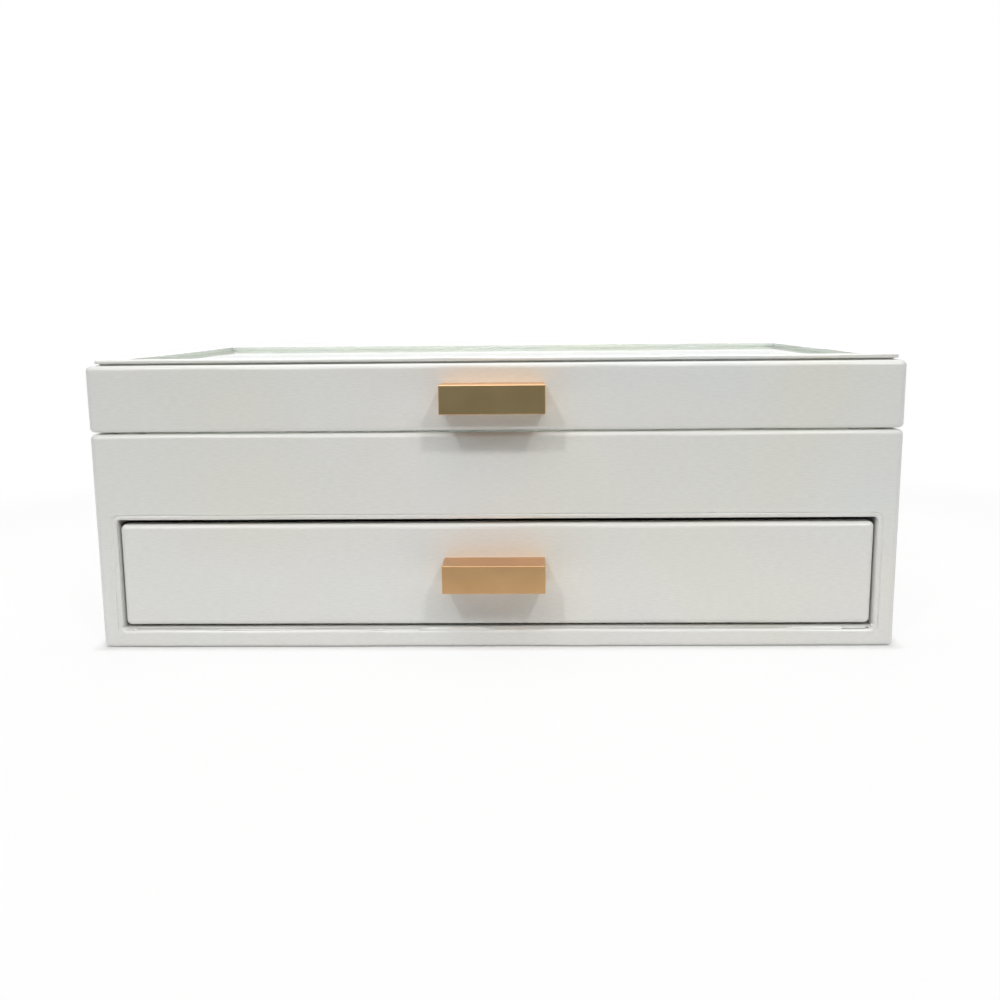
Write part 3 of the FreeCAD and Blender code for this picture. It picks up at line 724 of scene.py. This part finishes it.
def makeTopFrame():
    shape = topFrameShape
    low, high = boxMm("lid_top_frame")
    halfX, halfY = high[0], high[1]
    topR, bottomR, corner = shape["topRadius"], shape["bottomRadius"], shape["cornerRadius"]
    width, groove, foot = shape["window"], shape["grooveHeight"], shape["grooveDepth"]
    linesX = gridLines([-halfX, corner - halfX, halfX - corner, halfX], *shape["stepsX"])
    linesY = gridLines([-halfY, corner - halfY, halfY - corner, halfY], *shape["stepsY"])
    top, bottom = high[2], low[2]
    profile = [(foot, bottom), (foot, bottom + groove), (foot * 0.5, bottom + groove)]
    profile += [(bottomR - out, bottom + groove + down) for out, down in quarterTurn(bottomR, 4)]
    profile += [(across, top - topR + rise) for rise, across in quarterTurn(topR, 6)]
    for share in (0.25, 0.5, 0.75):
        inset = topR + share * (width - 2 * topR)
        profile.append((inset, top + shape["crown"] * math.sin(math.pi * share)))
    profile += [(width - topR + rise, top - across) for rise, across in quarterTurn(topR, 6)]
    profile += [(width, bottom + 0.15), (width - 0.15, bottom)]
    skin = newSkin()
    loops = []
    for inset, z in profile:
        radius = max(corner - inset, shape["leastCorner"])
        flat = roundedLoop(linesX, linesY, corner, halfX - inset, halfY - inset, radius)
        loops.append(addPoints(skin, [(x, y, z) for x, y in flat]))
    for first, second in zip(loops, loops[1:] + loops[:1]):
        bridge(skin, second, first)
    piece = newPiece("topFrameCovering", skin, "leatherette", "lid")
    settleCovering(piece, 3)
    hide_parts("lid_top_frame")


# Covering of the drawer front: a padded face with soft round edges, turned back over the board
drawerFrontShape = {
    "cornerRadius": 2.2,
    "edgeRadius": 2.0,
    "crown": 0.12,
    "crownPowerX": 8,  # the higher, the nearer to the edge the face stays full
    "crownPowerZ": 4,
    "leastCorner": 0.2,
    "stepsX": (0.55, 2.2, 3.0),
    "stepsZ": (0.55, 2.2, 2.5),
}


def makeDrawerFrontCovering():
    shape = drawerFrontShape
    low, high = boxMm("drawer_front_wrap")
    halfX, halfZ = high[0], (high[2] - low[2]) / 2
    middleZ = (high[2] + low[2]) / 2
    corner, edgeR = shape["cornerRadius"], shape["edgeRadius"]
    linesX = gridLines([-halfX, corner - halfX, halfX - corner, halfX], *shape["stepsX"])
    linesZ = gridLines([-halfZ, corner - halfZ, halfZ - corner, halfZ], *shape["stepsZ"])
    profile = [(0, high[1] - low[1]), (0, (high[1] - low[1] + edgeR) / 2)]
    profile += [(across, edgeR - forward) for forward, across in quarterTurn(edgeR, 8)]
    skin = newSkin()
    loops = []
    for inset, depth in profile:
        radius = max(corner - inset, shape["leastCorner"])
        flat = roundedLoop(linesX, linesZ, corner, halfX - inset, halfZ - inset, radius)
        loops.append(addPoints(skin, [(x, low[1] + depth, z + middleZ) for x, z in flat]))
    for first, second in zip(loops[:-1], loops[1:]):
        bridge(skin, second, first)
    # The face inside the last loop
    rim = loops[-1]
    countX, countZ = len(linesX), len(linesZ)
    grid = [[None] * countX for _ in range(countZ)]
    lowSide = rim[:countX]
    rightSide = rim[countX - 1:countX + countZ - 1]
    highSide = rim[countX + countZ - 2:2 * countX + countZ - 2][::-1]
    leftSide = (rim[2 * countX + countZ - 3:] + rim[:1])[::-1]
    for r in range(1, countZ - 1):
        for k in range(1, countX - 1):
            x = skin["points"][lowSide[k]][0]
            z = skin["points"][leftSide[r]][2]
            fullness = 1 - (x / halfX) ** shape["crownPowerX"]
            fullness *= 1 - ((z - middleZ) / halfZ) ** shape["crownPowerZ"]
            grid[r][k] = addPoints(skin, [(x, low[1] - shape["crown"] * fullness, z)])[0]
    grid[0] = lowSide
    grid[-1] = highSide
    for r in range(1, countZ - 1):
        grid[r][0] = leftSide[r]
        grid[r][-1] = rightSide[r]
    for r in range(countZ - 1):
        for k in range(countX - 1):
            skin["faces"].append((grid[r][k], grid[r][k + 1], grid[r + 1][k + 1], grid[r + 1][k]))
    piece = newPiece("drawerFrontCovering", skin, "leatherette", "drawer", coveringThickness)
    settleCovering(piece, 4)
    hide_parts("drawer_front_wrap")


makeCaseCovering()
makeLidCovering()
makeTopFrame()
makeDrawerFrontCovering()
print("coverings made")


# Ring rolls: foam rods in velvet, side by side across the middle of the tray
rollShape = {
    "count": 9,
    "spacing": 19.25,
    "footWidth": 13.6,
    "bellyWidth": 18.2,
    "bellyHeight": 7.0,
    "height": 20.5,
    "endLength": 6.0,
    "endScale": 0.8,
    "bellyRise": 0.12,
    "crownFlatness": 0.92,
    "footFlatness": 0.35,
    "endRings": (0.72, 0.42),
    "pressure": 3.0,
    "stiffness": 12,
    "frames": 18,
    "mostMoved": 0.45,
    "softSwell": 0.35,
    "softLength": 16,
    "fineSwell": 0.1,
    "fineLength": 5,
    "around": 40,
    "along": 44,
}


# Closed outline of a roll's section, from the middle of its foot round over the crown
def rollOutline(shape):
    outline = []
    for share in np.linspace(0, 1, shape["around"] + 1):
        angle = -math.pi / 2 + 2 * math.pi * share
        x = math.cos(angle)
        z = math.sin(angle)
        middle = shape["bellyHeight"] + (shape["height"] - shape["bellyHeight"]) * shape["bellyRise"]
        if z >= 0:
            point = (shape["bellyWidth"] / 2 * math.copysign(abs(x) ** shape["crownFlatness"], x),
                     middle + (shape["height"] - middle) * z)
        else:
            narrow = shape["footWidth"] / 2 + (shape["bellyWidth"] - shape["footWidth"]) / 2 * (1 + z)
            point = (narrow * math.copysign(abs(x) ** shape["footFlatness"], x), middle * (1 + z))
        outline.append(point)
    return outline[:-1]


def makeRollMesh(shape, halfLength, floor):
    outline = rollOutline(shape)
    skin = newSkin()
    stations = np.linspace(-1, 1, shape["along"] + 1)
    loops = []
    for station in stations:
        x = halfLength * math.sin(station * math.pi / 2)
        fromEnd = halfLength - abs(x)
        share = min(1.0, fromEnd / shape["endLength"])
        scale = shape["endScale"] + (1 - shape["endScale"]) * math.sqrt(1 - (1 - share) ** 2)
        loops.append(addPoints(skin, [(x, y * scale, floor + z * scale) for y, z in outline]))
    for first, second in zip(loops[:-1], loops[1:]):
        bridge(skin, second, first)
    for loop, order in ((loops[0], -1), (loops[-1], 1)):
        ring = loop
        centre = np.mean([skin["points"][k] for k in loop], 0)
        for inward in shape["endRings"]:
            points = [centre + (np.array(skin["points"][k]) - centre) * inward for k in loop]
            following = addPoints(skin, points)
            pair = (following, ring)
            bridge(skin, *pair[::order])
            ring = following
        hub = addPoints(skin, [centre])[0]
        count = len(ring)
        for k in range(count):
            pair = (ring[k], ring[(k + 1) % count])
            skin["faces"].append((*pair[::order], hub))
    return skin


# Lets the velvet fill out from the inside as cloth, no point moving more than mostMoved
def fillOut(piece, shape, floor):
    before = np.array([vertex.co for vertex in piece.data.vertices])
    pinned = piece.vertex_groups.new(name="foot")
    low = [vertex.index for vertex in piece.data.vertices if vertex.co.z / mm < floor + 1.0]
    pinned.add(low, 1.0, "ADD")
    cloth = piece.modifiers.new("velvet", "CLOTH")
    cloth.settings.quality = 5
    cloth.settings.mass = 0.2
    cloth.settings.use_pressure = True
    cloth.settings.uniform_pressure_force = shape["pressure"]
    cloth.settings.tension_stiffness = shape["stiffness"]
    cloth.settings.compression_stiffness = shape["stiffness"]
    cloth.settings.bending_stiffness = 0.3
    cloth.settings.vertex_group_mass = "foot"
    cloth.settings.effector_weights.gravity = 0
    scene = bpy.context.scene
    for step in range(1, shape["frames"] + 1):
        scene.frame_set(step)
    view = bpy.context.evaluated_depsgraph_get()
    settled = piece.evaluated_get(view).to_mesh()
    after = np.array([vertex.co for vertex in settled.vertices])
    piece.evaluated_get(view).to_mesh_clear()
    piece.modifiers.clear()
    scene.frame_set(1)
    move = after - before
    length = np.linalg.norm(move, axis=1, keepdims=True)
    most = shape["mostMoved"] * mm
    move *= np.minimum(1.0, most / np.maximum(length, 1e-9))
    for vertex, point in zip(piece.data.vertices, before + move):
        vertex.co = point


def makeRingRolls():
    shape = rollShape
    low, high = boxMm("ring_rolls")
    floor = low[2]
    halfLength = (high[0] - low[0]) / 2 - 0.5
    skin = makeRollMesh(shape, halfLength, floor)
    first = None
    for index in range(shape["count"]):
        offset = (index - (shape["count"] - 1) / 2) * shape["spacing"]
        if first is None:
            piece = newPiece("ringRoll1", skin, "velvet", "case")
            fillOut(piece, shape, floor)
            first = piece.data.copy()
        else:
            piece = bpy.data.objects.new(f"ringRoll{index + 1}", first.copy())
            bpy.context.scene.collection.objects.link(piece)
            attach(piece, "case")
        turned = Matrix.Rotation(math.pi * (index % 2), 4, "Z")
        piece.data.transform(Matrix.Translation((0, offset * mm, 0)) @ turned)
        for vertex in piece.data.vertices:
            spot = vertex.co / mm
            height = max(0.0, (spot.z - floor) / shape["height"])
            softSpot = spot / shape["softLength"] + Vector((index * 7.3, 0, 0))
            fineSpot = spot / shape["fineLength"] + Vector((index * 2.9, 4, 0))
            soft = noise.noise(softSpot) * shape["softSwell"] * height
            fine = noise.noise(fineSpot) * shape["fineSwell"] * height
            vertex.co.z += (soft + fine) * mm
        smooth = piece.modifiers.new("smooth", "SUBSURF")
        smooth.levels = smooth.render_levels = 1
        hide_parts("ring_rolls")


makeRingRolls()
print("ring rolls made")


# Floor, light and camera. The table is bright close to the box and its light fades further off.
stageLook = {
    "nearColour": "#F6F6F5",
    "farColour": "#808080",
    "contactShare": 0.8,  # how much of the light on the table the camera sees at the foot of the box
    "shadowShare": 0.1,  # and further off; the rest is plain white
    "contactWidth": 6.0,
    "footprint": 0.6006,  # depth of the case over its width
    "nearRadius": 0.3,
    "farRadius": 0.5,
    "ambient": 0.02,
}


# One for a ray from the camera, off a shiny face or through the glass, and zero for any other
def seenRay(tree):
    path = addNode(tree, "ShaderNodeLightPath")
    seen = addNode(tree, "ShaderNodeMath", {
        0: path.outputs["Is Camera Ray"], 1: path.outputs["Is Glossy Ray"]}, operation="MAXIMUM")
    return addNode(tree, "ShaderNodeMath", {
        0: seen.outputs[0], 1: path.outputs["Is Transmission Ray"]}, operation="MAXIMUM").outputs[0]


def makeFloor():
    look = stageLook
    bpy.ops.mesh.primitive_plane_add(size=60)
    floor = bpy.context.object
    floor.name = "floor"
    material = bpy.data.materials.new("whiteTable")
    material.use_nodes = True
    tree = material.node_tree
    tree.nodes.clear()
    place = addNode(tree, "ShaderNodeTexCoord").outputs["Object"]
    distance = addNode(tree, "ShaderNodeVectorMath", {0: place}, operation="LENGTH").outputs["Value"]
    fading = addNode(tree, "ShaderNodeMapRange", {
        "Value": distance, "From Min": look["nearRadius"], "From Max": look["farRadius"]},
        interpolation_type="SMOOTHSTEP").outputs["Result"]
    colour = addNode(tree, "ShaderNodeMix", {
        0: fading, 6: linear(look["nearColour"]), 7: linear(look["farColour"])}, data_type="RGBA")
    diffuse = addNode(tree, "ShaderNodeBsdfDiffuse", {"Color": colour.outputs[2]})
    white = addNode(tree, "ShaderNodeEmission", {"Color": (1, 1, 1, 1), "Strength": 1.0})
    high = cadBox[1]
    away = addNode(tree, "ShaderNodeVectorMath", {
        0: addNode(tree, "ShaderNodeVectorMath", {0: place}, operation="ABSOLUTE").outputs[0],
        1: (high[0], high[0] * look["footprint"], 0.0)}, operation="SUBTRACT").outputs[0]
    outside = addNode(tree, "ShaderNodeVectorMath", {
        0: away, 1: (0.0, 0.0, 0.0)}, operation="MAXIMUM").outputs[0]
    gap = addNode(tree, "ShaderNodeVectorMath", {0: outside}, operation="LENGTH").outputs["Value"]
    whiteShare = addNode(tree, "ShaderNodeMapRange", {
        "Value": gap, "From Max": look["contactWidth"] * mm, "To Min": 1 - look["contactShare"],
        "To Max": 1 - look["shadowShare"]}, interpolation_type="SMOOTHSTEP").outputs["Result"]
    faded = addNode(tree, "ShaderNodeMapRange", {
        "Value": fading, "To Min": whiteShare, "To Max": 1.0}).outputs["Result"]
    share = addNode(tree, "ShaderNodeMath", {0: faded, 1: seenRay(tree)}, operation="MULTIPLY")
    mixed = addNode(tree, "ShaderNodeMixShader", {
        0: share.outputs[0], 1: diffuse.outputs["BSDF"], 2: white.outputs["Emission"]})
    addNode(tree, "ShaderNodeOutputMaterial", {"Surface": mixed.outputs[0]})
    floor.data.materials.append(material)


def makeWorld():
    world = bpy.data.worlds.new("paleStudio")
    bpy.context.scene.world = world
    world.use_nodes = True
    tree = world.node_tree
    tree.nodes.clear()
    strength = addNode(tree, "ShaderNodeMapRange", {
        "Value": seenRay(tree), "To Min": stageLook["ambient"], "To Max": 1.0})
    light = addNode(tree, "ShaderNodeBackground", {
        "Color": (1, 1, 1, 1), "Strength": strength.outputs["Result"]})
    addNode(tree, "ShaderNodeOutputWorld", {"Surface": light.outputs["Background"]})


# A dim card leans back from the table to under the camera, for the pulls to mirror. Only shiny
# faces see it.
flagLook = {
    "nearY": -0.27,
    "farY": -0.9,
    "nearHeight": 0.002,
    "farHeight": 0.3,
    "halfWidth": 0.7,
    "colour": "#5C7F86",
}


def makeFlag():
    look = flagLook
    mesh = bpy.data.meshes.new("flag")
    half = look["halfWidth"]
    near, far = (look["nearY"], look["nearHeight"]), (look["farY"], look["farHeight"])
    mesh.from_pydata([(-half, *near), (half, *near), (half, *far), (-half, *far)], [], [(0, 1, 2, 3)])
    flag = bpy.data.objects.new("flag", mesh)
    bpy.context.scene.collection.objects.link(flag)
    material = bpy.data.materials.new("dimCard")
    material.use_nodes = True
    tree = material.node_tree
    tree.nodes.clear()
    dim = addNode(tree, "ShaderNodeEmission", {"Color": linear(look["colour"]), "Strength": 1.0})
    addNode(tree, "ShaderNodeOutputMaterial", {"Surface": dim.outputs["Emission"]})
    mesh.materials.append(material)
    for kind in ("camera", "diffuse", "transmission", "shadow", "volume_scatter"):
        setattr(flag, "visible_" + kind, False)


# Place, target, size and power of each lamp. The side lamps are given for the right and stand on
# the left as well.
boxFront = (0, -0.1, 0.07)
softboxes = {
    "overheadSoftbox": ((0, 0.25, 1.5), (0, 0.1, 0), (1.2, 0.9), 10.0),
    "frontSoftbox": ((0, -1.1, 1.57), boxFront, (1.0, 0.7), 6.5),
    "rearSoftbox": ((0, 1.3, 0.9), (0, 0.1, 0.05), (1.2, 0.8), 8.0),
}
sideLamps = {
    "HighLamp": ((0.68, -1.39, 1.44), boxFront, (0.16, 0.16), 8.0),
    "LowLamp": ((1.13, -1.36, 1.14), boxFront, (0.16, 0.16), 2.4),
}


def addLamp(name, place, target, size, power):
    lamp = bpy.data.lights.new(name, "AREA")
    lamp.shape = "RECTANGLE"
    lamp.size, lamp.size_y = size
    lamp.energy = power
    holder = bpy.data.objects.new(name, lamp)
    bpy.context.scene.collection.objects.link(holder)
    holder.location = place
    holder.rotation_euler = (Vector(target) - Vector(place)).to_track_quat("-Z", "Y").to_euler()


def makeLamps():
    for name, lamp in softboxes.items():
        addLamp(name, *lamp)
    for side, sideName in ((-1, "left"), (1, "right")):
        for name, (place, *others) in sideLamps.items():
            addLamp(sideName + name, (side * place[0], *place[1:]), *others)


# The camera stands where the photograph was taken from
cameraPose = {
    "place": (0.0119, -0.5119, 0.1323),
    "lens": 38.68,
    "sensorWidth": 36,
    "down": 9.81,
    "left": -1.31,
    "tilt": 0.52,
}


def makeCamera():
    pose = cameraPose
    down, turn, tilt = (math.radians(pose[key]) for key in ("down", "left", "tilt"))
    forward = Vector((math.sin(turn) * math.cos(down), math.cos(turn) * math.cos(down), -math.sin(down)))
    right = Vector((math.cos(turn), -math.sin(turn), 0))
    below = forward.cross(right)
    across = math.cos(tilt) * right + math.sin(tilt) * below
    under = math.cos(tilt) * below - math.sin(tilt) * right
    data = bpy.data.cameras.new("camera")
    data.lens = pose["lens"]
    data.sensor_width = pose["sensorWidth"]
    data.clip_start = 0.01
    camera = bpy.data.objects.new("camera", data)
    bpy.context.scene.collection.objects.link(camera)
    axes = Matrix((across, -under, -forward)).transposed()
    camera.matrix_world = Matrix.Translation(pose["place"]) @ axes.to_4x4()
    bpy.context.scene.camera = camera


makeFloor()
makeWorld()
makeFlag()
makeLamps()
makeCamera()
bpy.context.scene.view_settings.view_transform = "Standard"
print("stage, lamps and camera made")
